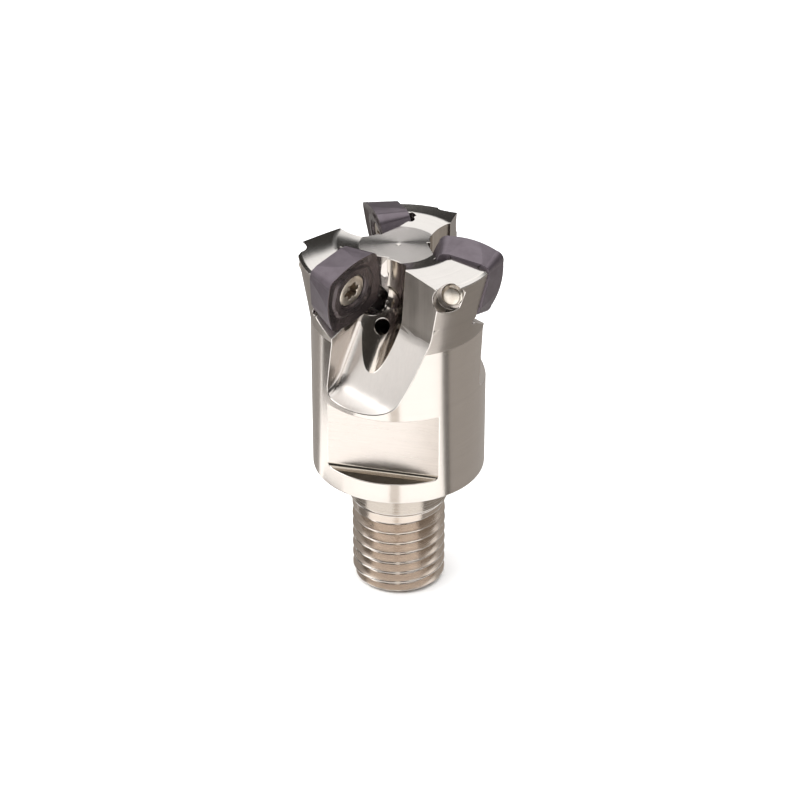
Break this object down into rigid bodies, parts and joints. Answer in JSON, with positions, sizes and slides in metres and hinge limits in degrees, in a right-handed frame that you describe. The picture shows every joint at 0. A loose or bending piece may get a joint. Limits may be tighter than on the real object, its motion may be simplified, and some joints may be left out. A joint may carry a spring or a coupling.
{
  "type": "screw-in face milling head",
  "caption": "Steel milling head with a threaded stud, pilot and wrench flats, carrying screwed-on square carbide inserts in fluted pockets with coolant holes.",
  "frame": {"origin": "centre of the flat coupling face, where the pilot starts", "axes": "+Z along the cutter axis towards the cutting end; +Y and -Y out of the two wrench flats; +X completes the right-handed set"},
  "size_m": [0.033, 0.0319, 0.0653],
  "materials": {
    "head_steel": "satin, turned and milled",
    "coated_carbide": "satin dark purple-grey hard coating on cemented carbide",
    "screw_steel": "bright satin"
  },
  "bodies": {
    "head": {"cutter_body": "head_steel"},
    "insert_1": {"insert_1": "coated_carbide"},
    "clamp_screw_1": {"clamp_screw_1": "screw_steel"},
    "insert_2": {"insert_2": "coated_carbide"},
    "clamp_screw_2": {"clamp_screw_2": "screw_steel"},
    "insert_3": {"insert_3": "coated_carbide"},
    "clamp_screw_3": {"clamp_screw_3": "screw_steel"}
  },
  "joints": [
    {"name": "insert_1_lift", "type": "slide", "parent": "head", "child": "insert_1", "axis": [0.863, -0.4813, -0.1535], "range_m": [0, 0.0042]},
    {"name": "clamp_screw_1_turn", "type": "hinge", "parent": "insert_1", "child": "clamp_screw_1", "pos_m": [-0.00496, -0.00977, 0.03629], "axis": [0.863, -0.4813, -0.1535], "range_deg": [0, 2521]},
    {"name": "insert_2_lift", "type": "slide", "parent": "head", "child": "insert_2", "axis": [-0.0147, 0.988, -0.1535], "range_m": [0, 0.0042]},
    {"name": "clamp_screw_2_turn", "type": "hinge", "parent": "insert_2", "child": "clamp_screw_2", "pos_m": [0.01094, 0.00059, 0.03629], "axis": [-0.0147, 0.988, -0.1535], "range_deg": [0, 2521]},
    {"name": "insert_3_lift", "type": "slide", "parent": "head", "child": "insert_3", "axis": [-0.8483, -0.5067, -0.1535], "range_m": [0, 0.0042]},
    {"name": "clamp_screw_3_turn", "type": "hinge", "parent": "insert_3", "child": "clamp_screw_3", "pos_m": [-0.00599, 0.00918, 0.03629], "axis": [-0.8483, -0.5067, -0.1535], "range_deg": [0, 2521]}
  ],
  "couplings": [
    {"joint": "clamp_screw_1_turn", "follows": "insert_1_lift", "rad_per_m": 10472},
    {"joint": "clamp_screw_2_turn", "follows": "insert_2_lift", "rad_per_m": 10472},
    {"joint": "clamp_screw_3_turn", "follows": "insert_3_lift", "rad_per_m": 10472}
  ]
}
